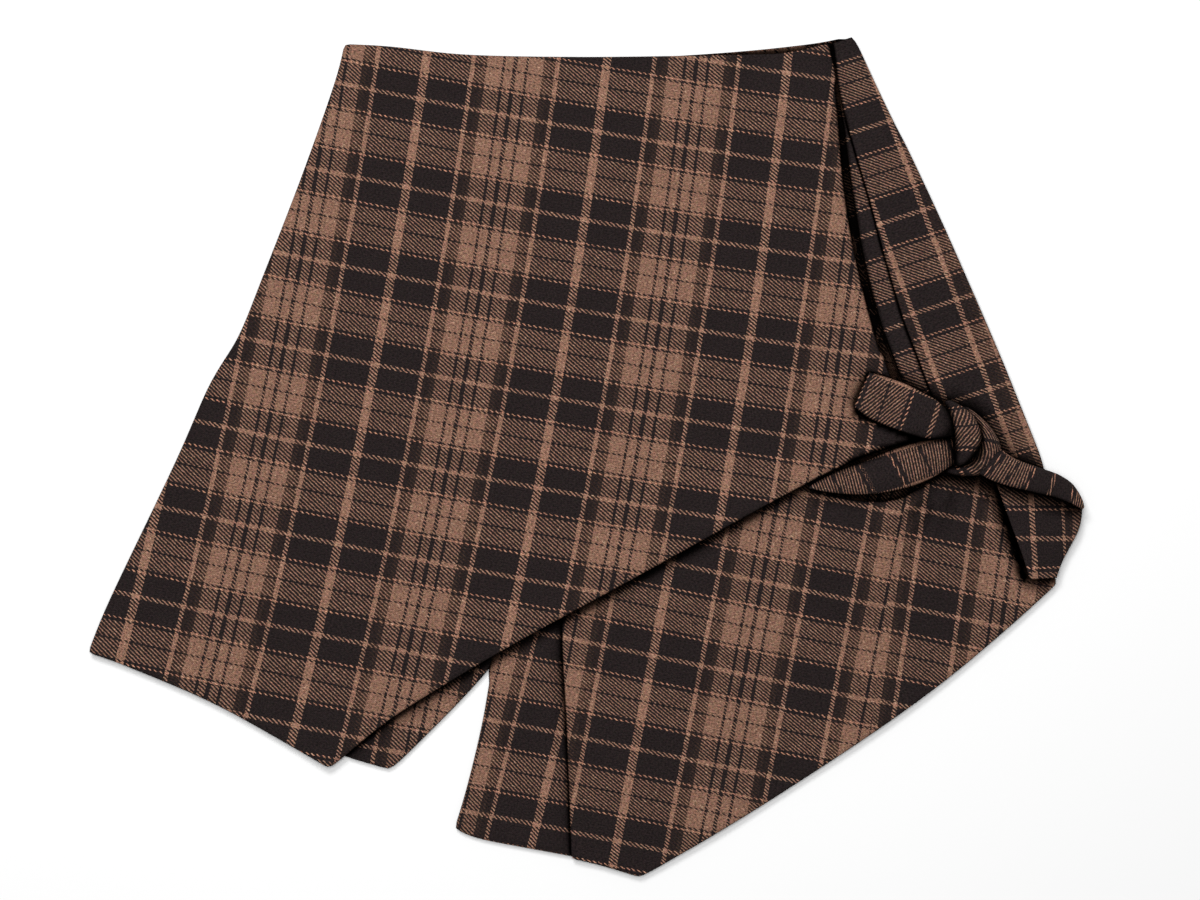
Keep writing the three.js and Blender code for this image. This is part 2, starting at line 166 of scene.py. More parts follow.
class Graph:
    """Short calls for building a material's nodes."""

    def __init__(self, material):
        self.tree = material.node_tree

    def node(self, kind, **inputs):
        made = self.tree.nodes.new(kind)
        for name, value in inputs.items():
            self.put(made.inputs[name.replace("_", " ")], value)
        return made

    def put(self, socket, value):
        if isinstance(value, bpy.types.NodeSocket):
            self.tree.links.new(value, socket)
        else:
            socket.default_value = value

    def math(self, operation, *values):
        made = self.tree.nodes.new("ShaderNodeMath")
        made.operation = operation
        for socket, value in zip(made.inputs, values):
            self.put(socket, value)
        return made.outputs[0]

    def mix(self, factor, a, b, blend="MIX"):
        made = self.tree.nodes.new("ShaderNodeMix")
        made.data_type = "RGBA"
        made.blend_type = blend
        self.put(made.inputs[0], factor)
        self.put(made.inputs[6], a)
        self.put(made.inputs[7], b)
        return made.outputs[2]

    def shaded(self, colour, share):
        grey = self.node("ShaderNodeCombineXYZ", X=share, Y=share, Z=share).outputs[0]
        return self.mix(1.0, colour, grey, "MULTIPLY")

    def uv(self, name):
        made = self.tree.nodes.new("ShaderNodeUVMap")
        made.uv_map = name
        return self.node("ShaderNodeSeparateXYZ", Vector=made.outputs[0])

    def bands(self, value, stops):
        made = self.tree.nodes.new("ShaderNodeValToRGB")
        made.color_ramp.interpolation = "CONSTANT"
        elements = made.color_ramp.elements
        while len(elements) > 1:
            elements.remove(elements[-1])
        for i, (position, colour) in enumerate(stops):
            element = elements[0] if i == 0 else elements.new(position)
            element.position = position
            element.color = colour
        self.put(made.inputs[0], value)
        return made.outputs[0]

    def noise(self, vector, scale, detail=2.0, roughness=0.5, colours=False):
        made = self.node("ShaderNodeTexNoise", Vector=vector, Scale=scale, Detail=detail, Roughness=roughness)
        return made.outputs[1 if colours else 0]

    def remap(self, value, low, high, to_low=0.0, to_high=1.0):
        made = self.tree.nodes.new("ShaderNodeMapRange")
        for socket, item in zip(made.inputs, (value, low, high, to_low, to_high)):
            self.put(socket, item)
        return made.outputs[0]


def chart_stops(chart):
    total = sum(count for _, count in chart)
    stops, at = [], 0
    for yarn, count in chart:
        stops.append((at / total, YARNS[yarn]))
        at += count
    return stops


def check_cloth():
    material = bpy.data.materials.new("check_cloth")
    material.use_nodes = True
    g = Graph(material)
    shader = g.tree.nodes["Principled BSDF"]

    threads = g.uv("Threads")
    ends = g.math("MULTIPLY", threads.outputs[0], ENDS)
    picks = g.math("MULTIPLY", threads.outputs[1], PICKS)
    place = g.node("ShaderNodeCombineXYZ", X=ends, Y=picks).outputs[0]
    aside = g.node("ShaderNodeCombineXYZ", X=picks, Y=ends, Z=7.0).outputs[0]
    # The yarns wander by a fraction of their width.
    sway = g.math("SUBTRACT", g.noise(place, 0.42, 3.0, 0.6), 0.5)
    slip = g.math("SUBTRACT", g.noise(aside, 0.42, 3.0, 0.6), 0.5)
    ends = g.math("MULTIPLY_ADD", sway, WANDER, ends)
    picks = g.math("MULTIPLY_ADD", slip, WANDER, picks)

    warp = g.bands(g.math("FRACT", g.math("DIVIDE", ends, ENDS)), chart_stops(WARP))
    weft = g.bands(g.math("FRACT", g.math("DIVIDE", picks, PICKS)), chart_stops(WEFT))

    # Two over, two under. The paler yarn sinks between the darker ones beside it, the weft more so.
    diagonal = g.uv("Twill").outputs[0]
    stray = g.math("SUBTRACT", sway, slip)
    phase = g.math("FRACT", g.math("MULTIPLY_ADD", stray, WANDER / TWILL_THREADS, diagonal))
    wave = g.math("PINGPONG", g.math("ADD", phase, 0.25), 0.5)  # 0 in the weft's middle, 0.5 in the warp's
    colour = g.mix(g.remap(wave, 0.14, 0.21), weft, g.mix(1.0, weft, warp, "DARKEN"))
    colour = g.mix(g.remap(wave, 0.24, 0.31), colour, warp)

    # Painted shade in the grooves between the diagonals, the tone of fibres and slow patches, and glints of
    # paler fibre on the tan yarns.
    groove = g.math("ABSOLUTE", g.math("SUBTRACT", wave, 0.25))
    fibre = g.noise(place, 0.62, 4.0, 0.7)
    patch = g.noise(place, 0.045, 3.0)
    groove_shade_and_tone = g.math("MULTIPLY", g.remap(groove, 0.0, 0.15, GROOVE_SHADE, 1.0),
                   g.remap(fibre, 0.34, 0.66, *FIBRE_SHADE))
    groove_shade_and_tone = g.math("MULTIPLY", groove_shade_and_tone, g.remap(patch, 0.3, 0.7, *PATCH_SHADE))
    colour = g.shaded(colour, groove_shade_and_tone)
    colour = g.mix(0.4, colour, g.noise(aside, 0.55, 2.0, colours=True), "MULTIPLY")
    brightness = g.node("ShaderNodeSeparateXYZ", Vector=colour).outputs[0]
    stray_fibre = g.remap(g.noise(aside, 0.5, 2.0), 0.6, 0.72)
    glint = g.math("MULTIPLY", stray_fibre, g.remap(brightness, 0.15, 0.3))
    colour = g.mix(g.math("MULTIPLY", glint, GLINT), colour, YARNS["glint"])

    # Painted shade: the base colour is darkened where cloth lies deep between two layers and gets little
    # light, by ambient occlusion and by each piece's painted-shade lines.
    crevice_occlusion = g.node("ShaderNodeAmbientOcclusion", Distance=CREVICE)
    crevice_occlusion.samples = 12
    painted_crevice_shade = g.math("POWER", crevice_occlusion.outputs["AO"], CREVICE_POWER)
    painted_crevice_shade = g.math("MULTIPLY_ADD", painted_crevice_shade, 1 - CREVICE_LIGHT, CREVICE_LIGHT)
    # Painted shade that each piece keeps on its points, near its painted-shade lines.
    deep = g.tree.nodes.new("ShaderNodeAttribute")
    deep.attribute_name = "painted_shade"
    light = g.math("MULTIPLY", painted_crevice_shade, g.math("SUBTRACT", 1.0, deep.outputs["Fac"]))
    g.put(shader.inputs["Base Color"], g.shaded(colour, light))

    height = g.math("ADD", g.math("MULTIPLY", groove, 2.0), g.math("MULTIPLY", fibre, 0.7))
    bump = g.node("ShaderNodeBump", Strength=0.4, Distance=0.0003, Height=height)
    g.put(shader.inputs["Normal"], bump.outputs[0])
    shader.inputs["Roughness"].default_value = 0.95
    # The painted shade takes down the shine and the sheen as well.
    g.put(shader.inputs["Specular IOR Level"], g.math("MULTIPLY", light, SHINE))
    g.put(shader.inputs["Sheen Weight"], g.math("MULTIPLY", light, SHEEN))
    shader.inputs["Sheen Roughness"].default_value = 0.5
    shader.inputs["Sheen Tint"].default_value = YARNS["sheen"]
    return material


cloth = check_cloth()

# How the check lies on each piece: at a point, how far into the repeat it is (along the weft, down the
# warp), then the length and direction of one repeat along each, in mm and degrees from +X. Bends are
# shares of a repeat for each product of the distances from that point, in units of BEND_REACH.
BEND_REACH = 200
LAYS = {
    "overskirt": dict(at=(-54, 53.5), repeat=(0.3495, 0.3573), weft=(118, -10.3), warp=(58.6, -100.3),
                      bends=dict(xx=(0.007, 0.057), xy=(0.041, -0.032), yy=(0.033, -0.046))),
    "underwrap": dict(at=(67, -159.2), repeat=(0.8973, 0.9333), weft=(121, -11.6), warp=(61, -100.9)),
    "hip": dict(at=(228.5, 112.7), repeat=(0.8465, 0.2818), weft=(145, 18.1), warp=(61.7, -69.6)),
    "tail": dict(at=(288.4, -52.6), repeat=(0.659, 0.5144), weft=(77, 0), warp=(71, -87.1)),
    "leg_left": dict(at=(-38.1, -189.2), repeat=(0.4957, 0.7543), weft=(110, -10.6), warp=(61, -103.8)),
    "leg_right": dict(at=(-112.7, -175.3), repeat=(0.095, 0.24), weft=(116, -10.5), warp=(61, -101.5)),
    "back": dict(at=(0, 0), repeat=(0.1, 0.4), weft=(117, 0), warp=(58, -90)),
}

SKIPS = {
    "underwrap": [
        dict(line=[(172, -6), (146, -150), (137, -200)], along=(0.273, 0.273), down=(0, 0)),
        dict(line=[(214, -8), (205.9, -32.5), (201.1, -56.4), (197.5, -75.6), (193.3, -101.9), (189.1, -140),
                   (184, -180)], along=(0.2, 0.13), down=(0.095, 0)),
        dict(line=[(239, -14), (225.9, -106), (214, -190)], along=(0.268, 0.268), down=(0, 0)),
    ],
    "hip": [dict(line=[(155, 266), (159.5, 239), (169.5, 196), (189, 130), (200.5, 90.5), (211.5, 65),
                       (223, 36), (237.5, 0)], along=(-0.298, -0.298), down=(0, 0)),
            dict(line=[(155, 266), (159.5, 239), (169.5, 196), (179, 165), (400, 164), (400, -20)],
                 along=(0.06, 0.06), down=(0, 0)),
            dict(line=[(153.5, 262), (177.5, 198), (184.5, 179.5), (190, 165), (400, 164), (400, -20)],
                 along=(-0.06, -0.06), down=(0, 0)),
            dict(line=[(178, 262), (214, 130), (251, 20), (262, -20)], along=(0.326, 0.326), down=(0, 0))],
}


# Painted shade where little light reaches: gaps deep between two layers, and the band's shadow on the tail.
# For each, a line, how far from it the base colour is dark and over what distance that fades, and how much of
# the light is lost.
PAINTED_SHADE_LINES = {
    "overskirt": [([(176, 28.5), (196, 20), (216, 11.5), (226, 10)], 3.0, 2, 1),
                  ([(170, -4.5), (195.5, 4), (221, 12.7)], 2.0, 2, 1)],
    "underwrap": [([(264.5, -14), (270.8, -36.9), (277.5, -57.2), (283.8, -78.5)], 2.0, 2, 1),
                  ([(226, -10), (245, -12), (264, -20)], 0, 14, 0.8)],
    "tail": [([(252, -9), (268, -18), (290, -24), (318, -34)], 1, 12, 0.8)],
}


def check_at(name, x, y, inside=None):
    """Place in the check, in repeats, of points in mm. inside gives the points that decide the skips."""
    lay = LAYS[name]
    basis = []
    for length, degrees in (lay["weft"], lay["warp"]):
        basis.append((length * math.cos(math.radians(degrees)), length * math.sin(math.radians(degrees))))
    (ax, ay), (bx, by) = basis
    dx, dy = x - lay["at"][0], y - lay["at"][1]
    area = ax * by - ay * bx
    u = lay["repeat"][0] + (dx * by - dy * bx) / area
    v = lay["repeat"][1] + (ax * dy - ay * dx) / area
    sx, sy = dx / BEND_REACH, dy / BEND_REACH
    for powers, (du, dv) in lay.get("bends", {}).items():
        term = sx ** powers.count("x") * sy ** powers.count("y")
        u, v = u + du * term, v + dv * term
    px, py = inside if inside is not None else (x, y)
    for skip in SKIPS.get(name, []):
        line = np.array(skip["line"], float)[::-1]
        edge = np.interp(py, line[:, 1], line[:, 0])
        share = np.clip((line[-1, 1] - py) / (line[-1, 1] - line[0, 1]), 0, 1)
        right = px > edge
        u = u + right * (skip["along"][0] * (1 - share) + skip["along"][1] * share)
        v = v + right * (skip["down"][0] * (1 - share) + skip["down"][1] * share)
    return u, v


# ---------------------------------------------------------------- making meshes

def make_piece(name, points, faces, corner_uv, node_names, twill):
    """points in mm; corner_uv has a row for each face corner."""
    mesh = bpy.data.meshes.new(name)
    points = np.asarray(points)
    mesh.from_pydata((points * MM).tolist(), [], [tuple(int(i) for i in f) for f in faces])
    layer = mesh.uv_layers.new(name="Threads")
    layer.data.foreach_set("uv", np.asarray(corner_uv, dtype=np.float32).ravel())
    closer = TWILL.get(twill, (1, 1))
    diagonal = (corner_uv[:, 0] * ENDS * closer[0] - corner_uv[:, 1] * PICKS * closer[1]) / TWILL_THREADS
    layer = mesh.uv_layers.new(name="Twill")
    layer.data.foreach_set("uv", np.column_stack([diagonal, 0 * diagonal]).astype(np.float32).ravel())
    # Painted shade: how much darker the base colour is made near each of the piece's painted-shade lines.
    dark = np.zeros(len(points))
    for line, reach, fade, loss in PAINTED_SHADE_LINES.get(twill, []):
        distance, _, _ = to_line(line, points[:, 0], points[:, 1])
        dark = np.maximum(dark, loss * (1 - smoothstep(distance, reach, reach + fade)))
    mesh.attributes.new("painted_shade", "FLOAT", "POINT").data.foreach_set("value", dark)
    mesh.materials.append(cloth)
    mesh.polygons.foreach_set("use_smooth", [True] * len(mesh.polygons))
    mesh.update()
    piece = bpy.data.objects.new(name, mesh)
    scene.collection.objects.link(piece)
    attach(piece, "root")
    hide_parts(*node_names)
    return piece


def state_cut(width, length):
    """Turns a piece's cut, width by length in mm, into metres; nothing more is done with it."""
    width, length = width * MM, length * MM


def smoothstep(value, low, high):
    t = np.clip((value - low) / (high - low), 0, 1)
    return t * t * (3 - 2 * t)


def to_line(line, x, y):
    """Distance from points to a bent line, the share of its length there, and the side (+1 is right)."""
    best = np.full(np.shape(x), np.inf)
    share = np.zeros(np.shape(x))
    side = np.ones(np.shape(x))
    line = np.array(line, float)
    steps = np.linalg.norm(np.diff(line, axis=0), axis=1)
    along = 0.0
    for (x1, y1), (x2, y2), step in zip(line[:-1], line[1:], steps):
        t = np.clip(((x - x1) * (x2 - x1) + (y - y1) * (y2 - y1)) / step ** 2, 0, 1)
        ox, oy = x - x1 - t * (x2 - x1), y - y1 - t * (y2 - y1)
        distance = np.hypot(ox, oy)
        nearer = distance < best
        best = np.where(nearer, distance, best)
        share = np.where(nearer, (along + t * step) / steps.sum(), share)
        side = np.where(nearer, np.sign(ox * (y1 - y2) + oy * (x2 - x1)), side)
        along += step
    return best, share, side


# ---------------------------------------------------------------- panels

GRID = 4  # spacing of the height field, in mm
BLUR = 7  # how far the height field is smoothed, so that the solid's facets don't show
CORNER_ANGLE = 28
EDGE_RING = 1.1  # how far inside the edge the first ring of points lies
NUDGE_REACH = 6  # how far from its line a nudge moves the edge
ABOVE, BELOW = 100, -50  # where the rays that feel for the solids start, in mm


def weld(node):
    """The node's corners in mm, with those that share a place made one, and its faces."""
    mesh = nodes[node].data
    co = np.empty(len(mesh.vertices) * 3, np.float32)
    mesh.vertices.foreach_get("co", co)
    co = co.reshape(-1, 3) / MM
    keys, index = np.unique(np.round(co, 3), axis=0, return_inverse=True)
    index = index.ravel()
    faces = [[index[i] for i in p.vertices] for p in mesh.polygons]
    return keys, faces


def loop_of(node):
    """The node's edge seen from above, as one closed loop of corners in mm."""
    co, faces = weld(node)
    once = {}
    for face in faces:
        a, b, c = (co[i] for i in face[:3])
        normal = np.cross(b - a, c - a)
        if normal[2] <= 0.3 * np.linalg.norm(normal):
            continue
        for i, j in zip(face, face[1:] + face[:1]):
            if (j, i) in once:
                del once[(j, i)]
            else:
                once[(i, j)] = True
    after = {}
    for i, j in once:
        after.setdefault(i, []).append(j)
    loops = []
    while after:
        start = at = next(iter(after))
        loop = [at]
        while True:
            choices = after[at]
            at = choices.pop()
            if not choices:
                del after[loop[-1]]
            if at == start or at not in after:
                break
            loop.append(at)
        loops.append(loop)
    return co[max(loops, key=len)][:, :2]


def lengths_along(line):
    """How far along a line each of its points is."""
    return np.concatenate([[0], np.cumsum(np.linalg.norm(np.diff(line, axis=0), axis=1))])


def on_line(line, length, at):
    """The points that lie at the given lengths along a line in the plane."""
    return np.column_stack([np.interp(at, length, line[:, k]) for k in (0, 1)])


def smooth_loop(loop, step, sigma=7.0):
    """The loop with even steps, smooth between its real corners, and those slightly rounded."""
    before, after = loop - np.roll(loop, 1, axis=0), np.roll(loop, -1, axis=0) - loop
    turn = np.degrees(np.abs(np.arctan2(np.cross(before, after), (before * after).sum(1))))
    corners = [i for i in range(len(loop)) if turn[i] > CORNER_ANGLE]
    loop = np.roll(loop, -corners[0], axis=0)
    corners = [i - corners[0] for i in corners] + [len(loop)]
    closed = np.vstack([loop, loop[:1]])
    made = []
    for first, last in zip(corners[:-1], corners[1:]):
        run = closed[first:last + 1]
        length = lengths_along(run)
        count = max(2, int(round(length[-1])))
        fine = on_line(run, length, np.linspace(0, length[-1], count + 1))
        if count > 12:
            reach = min(int(3 * sigma), count - 1)
            kernel = np.exp(-0.5 * (np.arange(-reach, reach + 1) / sigma) ** 2)
            kernel /= kernel.sum()
            padded = np.vstack([2 * fine[0] - fine[reach:0:-1], fine, 2 * fine[-1] - fine[-2:-reach - 2:-1]])
            fine = np.column_stack([np.convolve(padded[:, k], kernel, "valid") for k in (0, 1)])
        made.append(fine[:-1])
    fine = np.vstack(made)
    for _ in range(6):
        fine = 0.25 * np.roll(fine, 1, axis=0) + 0.5 * fine + 0.25 * np.roll(fine, -1, axis=0)
    closed = np.vstack([fine, fine[:1]])
    length = lengths_along(closed)
    at = np.linspace(0, length[-1], int(length[-1] / step), endpoint=False)
    return on_line(closed, length, at)


def height_field(node):
    """Smooth height of the middle of the node's cloth, as a function of places in mm."""
    co, faces = weld(node)
    tree = BVHTree.FromPolygons([Vector(c) for c in co], faces)
    low, high = co.min(0) - 3 * GRID, co.max(0) + 3 * GRID
    xs, ys = np.arange(low[0], high[0] + GRID, GRID), np.arange(low[1], high[1] + GRID, GRID)
    z = np.zeros((len(ys), len(xs)))
    known = np.zeros_like(z)
    for j, y in enumerate(ys):
        for i, x in enumerate(xs):
            top = tree.ray_cast(Vector((x, y, ABOVE)), Vector((0, 0, -1)))[0]
            if top is None:
                continue
            foot = tree.ray_cast(Vector((x, y, BELOW)), Vector((0, 0, 1)))[0]
            z[j, i], known[j, i] = (top.z + foot.z) / 2, 1
    reach = int(3 * BLUR / GRID) + 1
    kernel = np.exp(-0.5 * (np.arange(-reach, reach + 1) * GRID / BLUR) ** 2)

    def blurred(field):
        for axis in (0, 1):
            field = np.apply_along_axis(lambda row: np.convolve(row, kernel, "same"), axis, field)
        return field

    total, weight = blurred(z * known), blurred(known)
    for _ in range(3):
        hollow = weight < 1e-4
        filled = np.where(hollow, 0, total / np.maximum(weight, 1e-9))
        near = (~hollow).astype(float)
        total = np.where(hollow, blurred(filled), filled)
        weight = np.where(hollow, blurred(near), near)
    smooth = np.where(weight > 1e-9, total / np.maximum(weight, 1e-9), 0)

    def at(x, y):
        fx = np.clip((x - xs[0]) / GRID, 0, len(xs) - 1.001)
        fy = np.clip((y - ys[0]) / GRID, 0, len(ys) - 1.001)
        i, j = fx.astype(int), fy.astype(int)
        s, t = fx - i, fy - j
        return ((smooth[j, i] * (1 - s) + smooth[j, i + 1] * s) * (1 - t)
                + (smooth[j + 1, i] * (1 - s) + smooth[j + 1, i + 1] * s) * t)

    return at


def points_inside(loop, spacing):
    """A grid of points inside the loop, every other row half a step across."""
    a, b = loop, np.roll(loop, -1, axis=0)
    found = []
    row_step = spacing * math.sqrt(3) / 2
    for row, y in enumerate(np.arange(loop[:, 1].min() + row_step / 2, loop[:, 1].max(), row_step)):
        crossing = (a[:, 1] > y) != (b[:, 1] > y)
        t = (y - a[crossing, 1]) / (b[crossing, 1] - a[crossing, 1])
        cuts = np.sort(a[crossing, 0] + t * (b[crossing, 0] - a[crossing, 0]))
        for x1, x2 in zip(cuts[::2], cuts[1::2]):
            start = math.ceil(x1 / spacing) * spacing + (row % 2) * spacing / 2
            xs = np.arange(start, x2, spacing)
            found.append(np.column_stack([xs, np.full(len(xs), y)]))
    return np.vstack(found)


def distance_to_loop(points, loop):
    dense = np.vstack([loop + (np.roll(loop, -1, axis=0) - loop) * s for s in (0, 0.25, 0.5, 0.75)])
    tree = KDTree(len(dense))
    for i, (x, y) in enumerate(dense):
        tree.insert((x, y, 0), i)
    tree.balance()
    return np.array([tree.find((x, y, 0))[2] for x, y in points])


def swell(x, y):
    """Slow unevenness that all the layers share, in mm."""
    return (0.22 * np.sin(x / 23 + 0.7 * np.sin(y / 41)) * np.sin(y / 31 + 1.3)
            + 0.18 * np.sin((x + 1.4 * y) / 37 + 2.1) + 0.12 * np.sin((2.1 * x - y) / 29 + 0.4))


def face_check(lay, place, faces):
    """The check at each corner of the faces, all of a face's corners on the same side of a skip."""
    x, y = place[..., 0].ravel()[faces], place[..., 1].ravel()[faces]
    middle_x = np.repeat(x.mean(1)[:, None], faces.shape[1], axis=1)
    middle_y = np.repeat(y.mean(1)[:, None], faces.shape[1], axis=1)
    return np.stack(check_at(lay, x, y, (middle_x, middle_y)), axis=-1)


def triangles_over(loop, seams, spacing):
    """Points and triangles that fill the loop, with an edge of the mesh along each seam."""
    ahead = np.roll(loop, -1, axis=0) - np.roll(loop, 1, axis=0)
    inward = np.column_stack([-ahead[:, 1], ahead[:, 0]]) / np.linalg.norm(ahead, axis=1)[:, None]
    ring = loop + inward * EDGE_RING
    ring = ring[distance_to_loop(ring, loop) > 0.7 * EDGE_RING]
    inner = points_inside(loop, spacing)
    inner = inner[distance_to_loop(inner, loop) > EDGE_RING + 0.45 * spacing]
    cuts = []
    for line in seams:
        line = np.array(line, float)
        length = lengths_along(line)
        cuts.append(on_line(line, length, np.linspace(0, length[-1], int(length[-1] / spacing))))
    for cut in cuts:
        distance, _, _ = to_line(cut, inner[:, 0], inner[:, 1])
        inner = inner[distance > 0.5 * spacing]
    flat = np.vstack([loop, ring, inner, *cuts])
    edges, start = [], len(loop) + len(ring) + len(inner)
    for cut in cuts:
        edges += [(start + i, start + i + 1) for i in range(len(cut) - 1)]
        start += len(cut)
    flat, _, faces, _, _, _ = delaunay_2d_cdt(
        [Vector(p) for p in flat], edges, [list(range(len(loop)))], 1, 1e-4)
    return np.array([tuple(p) for p in flat]), np.array([f for f in faces])


def rim_walls(faces, count):
    """Faces that join the rim of the upper side to the rim of the lower one, count points further on."""
    used = {(i, j) for f in faces for i, j in zip(f, np.roll(f, -1))}
    rim = [(i, j) for f in faces for i, j in zip(f, np.roll(f, -1)) if (j, i) not in used]
    return [f for i, j in rim for f in ((j, i, i + count), (j, i + count, j + count))]


def panel(name, node, lay, spacing, relief=None, seams=(), nudge=None):
    """A shell of cloth over a panel's solid. seams are bent lines that get an edge of the mesh each.
    nudge is a line beside the edge and how far the edge is moved there."""
    loop = smooth_loop(loop_of(node), spacing)
    if nudge:
        line, move = nudge
        distance, _, _ = to_line(line, loop[:, 0], loop[:, 1])
        loop = loop + np.exp(-((distance / NUDGE_REACH) ** 4))[:, None] * np.array(move, float)
    if np.cross(loop, np.roll(loop, -1, axis=0)).sum() < 0:
        loop = loop[::-1]
    flat, faces = triangles_over(loop, seams, spacing)
    x, y = flat[:, 0], flat[:, 1]
    middle = height_field(node)(x, y) + swell(x, y) * fade_in(node)
    if relief is not None:
        middle = middle + relief(x, y)
    to_edge = distance_to_loop(flat, loop)
    rim = CLOTH / 2
    half = 0.35 * rim + 0.65 * rim * np.sqrt(1 - (1 - np.clip(to_edge / (1.6 * rim), 0, 1)) ** 2)
    count = len(flat)
    width, length = np.ptp(flat, axis=0)
    points = np.vstack([np.column_stack([flat, middle + half]), np.column_stack([flat, middle - half])])
    all_faces = np.vstack([faces, faces[:, ::-1] + count, rim_walls(faces, count)])
    corner_uv = face_check(lay, flat, all_faces % count)
    piece = make_piece(name, points, all_faces, corner_uv.reshape(-1, 2), [node], lay)
    state_cut(width, length)


def fade_in(node):
    """The backs lie on the floor, so they take no swell."""
    return 0.0 if "back" in node else 1.0


TUCK = SKIPS["underwrap"][1]["line"]
WRAP_EDGE = [(157.5, 266.5), (163.5, 236), (168.5, 175), (176.5, 127), (190.5, 72.5), (203.5, 37),
             (232, 13.5)]
WRAP_TURNED = WRAP_EDGE[1:5]
CENTRE_SEAM = [(-61, -137), (-52, -85), (-40, -10)]
WRAP_HEM = [(231.5, 10), (207, 8.5), (188, 3), (141.5, -18), (22.5, -83.5), (-52.5, -124.5), (-117.5, -164),
            (-162, -199.5)]
TAIL_EDGE = [(258, -14), (266, -36), (273, -53), (279, -67), (287, -82)]
LENS = [(158, -22), (178, -27), (196, -27), (212, -22), (224, -14), (240, -11)]  # gap under the loop

# Creases that the knot pulls in the under panel: the line from the knot, and a crease's height and width.
CREASES = [
    ([(222, -22), (203, -34), (176, -46)], 1.7, 3.2),
    ([(225, -25), (207, -42), (182, -58)], -1.1, 2.6),
    ([(226, -26), (211, -44), (190, -64)], 1.6, 2.6),
    ([(229, -27), (215, -47), (200, -72)], -1.2, 2.3),
    ([(232, -26), (221, -52), (212, -88)], 1.6, 3.0),
    ([(238, -24), (231, -50), (225, -84)], -1.0, 3.0),
    ([(244, -22), (243, -50), (236, -92)], 1.2, 5.0),
    ([(254, -20), (257, -48), (254, -86)], -0.7, 5.0),
]


def dip(line, x, y, depth, width):
    """The layers under a free edge lie deeper beside it."""
    distance, _, _ = to_line(line, x, y)
    return -depth * np.exp(-((distance / width) ** 2))


def underwrap_relief(x, y):
    distance, share, side = to_line(TUCK, x, y)
    strength = (1 - share) ** 0.7
    fold = np.where(side > 0, np.exp(-((distance / 9) ** 2)), np.exp(-((distance / 1.6) ** 2)))
    lift = 1.2 * strength * fold
    for line, height, width in CREASES:
        d, s, _ = to_line(line, x, y)
        lift = lift + height * (1 - s) * np.exp(-((d / width) ** 2))
    return lift + dip(WRAP_HEM, x, y, 1.3, 4.5) + dip(TAIL_EDGE, x, y, 1.4, 5)


def leg_relief(x, y):
    return dip(WRAP_HEM, x, y, 1.2, 5) + dip(TAIL_EDGE, x, y, 0.4, 4) + dip(LENS, x, y, 1.6, 6)


def overskirt_relief(x, y):
    """The free edges stand up a little, and the cloth rolls over along them."""
    edge, _, _ = to_line(WRAP_EDGE, x, y)
    hem, _, _ = to_line(WRAP_HEM, x, y)
    lift = 1.2 * np.exp(-((hem / 40) ** 2)) + 2.6 * np.exp(-((edge / 30) ** 2))
    return lift - 2.2 * np.exp(-((edge / 4.2) ** 2)) - 0.7 * np.exp(-((hem / 1.8) ** 2))


panel("back_right_shell", "shorts_back_right", "back", 7)
panel("back_left_shell", "shorts_back_left", "back", 7)
panel("front_right_shell", "shorts_front_right", "leg_right", 4)
panel("front_left_shell", "shorts_front_left", "leg_left", 4, leg_relief,
      nudge=(CENTRE_SEAM, (-1.7, 0)))
panel("underwrap_shell", "underwrap_panel", "underwrap", 3, underwrap_relief, [TUCK])
panel("overskirt_shell", "overskirt_panel", "overskirt", 3,
      overskirt_relief, nudge=(WRAP_TURNED, (-1.8, -0.3)))


# ---------------------------------------------------------------- strips

def smooth_rows(rows, spacing):
    """Rows of points with more rows put between them, on smooth curves through the given ones."""
    rows = np.asarray(rows, float)
    before = np.vstack([2 * rows[:1] - rows[1:2], rows[:-1]])
    after = np.vstack([rows[1:], 2 * rows[-1:] - rows[-2:-1]])
    made = []
    for i in range(len(rows) - 1):
        p0, p1, p2, p3 = before[i], rows[i], rows[i + 1], after[i + 1]
        steps = max(1, int(round(np.linalg.norm(p2 - p1, axis=-1).max() / spacing)))
        for t in np.arange(steps) / steps:
            made.append(0.5 * (2 * p1 + (p2 - p0) * t + (2 * p0 - 5 * p1 + 4 * p2 - p3) * t ** 2
                               + (3 * p1 - p0 - 3 * p2 + p3) * t ** 3))
    return np.array(made + [rows[-1]])


def shell_about(name, middle, half, node_names, twill, uv=None, lay=None, place=None):
    """A closed shell about a grid of points. half is its half thickness."""
    rows, columns = middle.shape[:2]
    down = np.gradient(middle, axis=0)
    across = np.gradient(middle, axis=1)
    normal = np.cross(down, across)
    normal /= np.maximum(np.linalg.norm(normal, axis=-1, keepdims=True), 1e-9)
    offset = normal * half[..., None]
    points = np.vstack([(middle + offset).reshape(-1, 3), (middle - offset).reshape(-1, 3)])
    index = np.arange(rows * columns).reshape(rows, columns)
    count = rows * columns
    a, b, c, d = index[:-1, :-1], index[1:, :-1], index[1:, 1:], index[:-1, 1:]
    top = np.stack([a, b, c, d], axis=-1).reshape(-1, 4)
    rim = np.concatenate([index[0, ::-1], index[1:, 0], index[-1, 1:], index[-2:0:-1, -1]])
    after = np.roll(rim, -1)
    walls = np.stack([after, rim, rim + count, after + count], axis=-1)
    faces = np.vstack([top, top[:, ::-1] + count, walls])
    corner_uv = face_check(lay, place, faces % count) if lay else uv.reshape(-1, 2)[faces % count]
    return make_piece(name, points, faces, corner_uv.reshape(-1, 2), node_names, twill)


